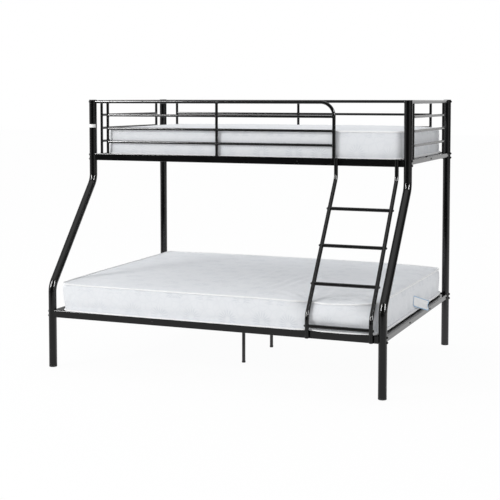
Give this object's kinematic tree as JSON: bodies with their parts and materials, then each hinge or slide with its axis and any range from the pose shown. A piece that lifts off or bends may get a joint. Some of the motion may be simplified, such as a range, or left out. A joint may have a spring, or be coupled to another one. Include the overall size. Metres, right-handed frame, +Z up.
{
  "type": "triple bunk bed",
  "caption": "Single bed over a double bed in a black steel tube frame with bent front posts, guard rails, a sloping ladder and white mattresses.",
  "frame": {"origin": "on the floor, at the middle of the overall box", "axes": "+X along the length of the beds, the ladder side faces -Y, +Z up"},
  "size_m": [1.9876, 1.4714, 1.511],
  "materials": {
    "steel_coat": "satin to glossy black powder coat",
    "black_plastic": "moulded black plastic",
    "ticking": "white woven ticking with piped edges"
  },
  "bodies": {
    "bed_frame": {"post_front_left": "steel_coat", "post_front_right": "steel_coat", "post_rear_left": "steel_coat", "post_rear_right": "steel_coat", "post_cap_front_left": "black_plastic", "post_cap_front_right": "black_plastic", "post_cap_rear_left": "black_plastic", "post_cap_rear_right": "black_plastic", "post_foot_front_left": "black_plastic", "post_foot_front_right": "black_plastic", "post_foot_rear_left": "black_plastic", "post_foot_rear_right": "black_plastic", "side_rail_upper_front": "steel_coat", "side_rail_upper_rear": "steel_coat", "side_rail_lower_front": "steel_coat", "side_rail_lower_rear": "steel_coat", "end_rail_upper_left": "steel_coat", "end_rail_upper_right": "steel_coat", "end_rail_lower_left": "steel_coat", "end_rail_lower_right": "steel_coat", "end_top_tube_left": "steel_coat", "end_top_tube_right": "steel_coat", "end_grille_left": "steel_coat", "end_grille_right": "steel_coat", "guard_front": "steel_coat", "guard_rear": "steel_coat", "ladder_stile_left": "steel_coat", "ladder_stile_right": "steel_coat", "ladder_rung_1": "steel_coat", "ladder_rung_2": "steel_coat", "ladder_rung_3": "steel_coat", "ladder_rung_4": "steel_coat", "centre_beam_upper": "steel_coat", "centre_beam_lower_front": "steel_coat", "centre_beam_lower_rear": "steel_coat", "centre_leg_front": "steel_coat", "centre_leg_rear": "steel_coat", "leg_foot_front": "black_plastic", "leg_foot_rear": "black_plastic", "slat_deck_upper": "steel_coat", "slat_deck_lower": "steel_coat", "rail_bolt_upper_front_left_low": "steel_coat", "rail_bolt_upper_front_left_high": "steel_coat", "rail_bolt_upper_front_right_low": "steel_coat", "rail_bolt_upper_front_right_high": "steel_coat", "rail_bolt_upper_rear_left_low": "steel_coat", "rail_bolt_upper_rear_left_high": "steel_coat", "rail_bolt_upper_rear_right_low": "steel_coat", "rail_bolt_upper_rear_right_high": "steel_coat", "rail_bolt_lower_front_left_low": "steel_coat", "rail_bolt_lower_front_left_high": "steel_coat", "rail_bolt_lower_front_right_low": "steel_coat", "rail_bolt_lower_front_right_high": "steel_coat", "rail_bolt_lower_rear_left_low": "steel_coat", "rail_bolt_lower_rear_left_high": "steel_coat", "rail_bolt_lower_rear_right_low": "steel_coat", "rail_bolt_lower_rear_right_high": "steel_coat"},
    "upper_mattress": {"mattress_upper": "ticking"},
    "lower_mattress": {"mattress_lower": "ticking"}
  },
  "joints": [
    {"name": "upper_mattress_lift", "type": "slide", "parent": "bed_frame", "child": "upper_mattress", "axis": [0, 0, 1], "range_m": [0, 0.34]},
    {"name": "lower_mattress_pull", "type": "slide", "parent": "bed_frame", "child": "lower_mattress", "axis": [0, 1, 0], "range_m": [0, 1.48]}
  ]
}
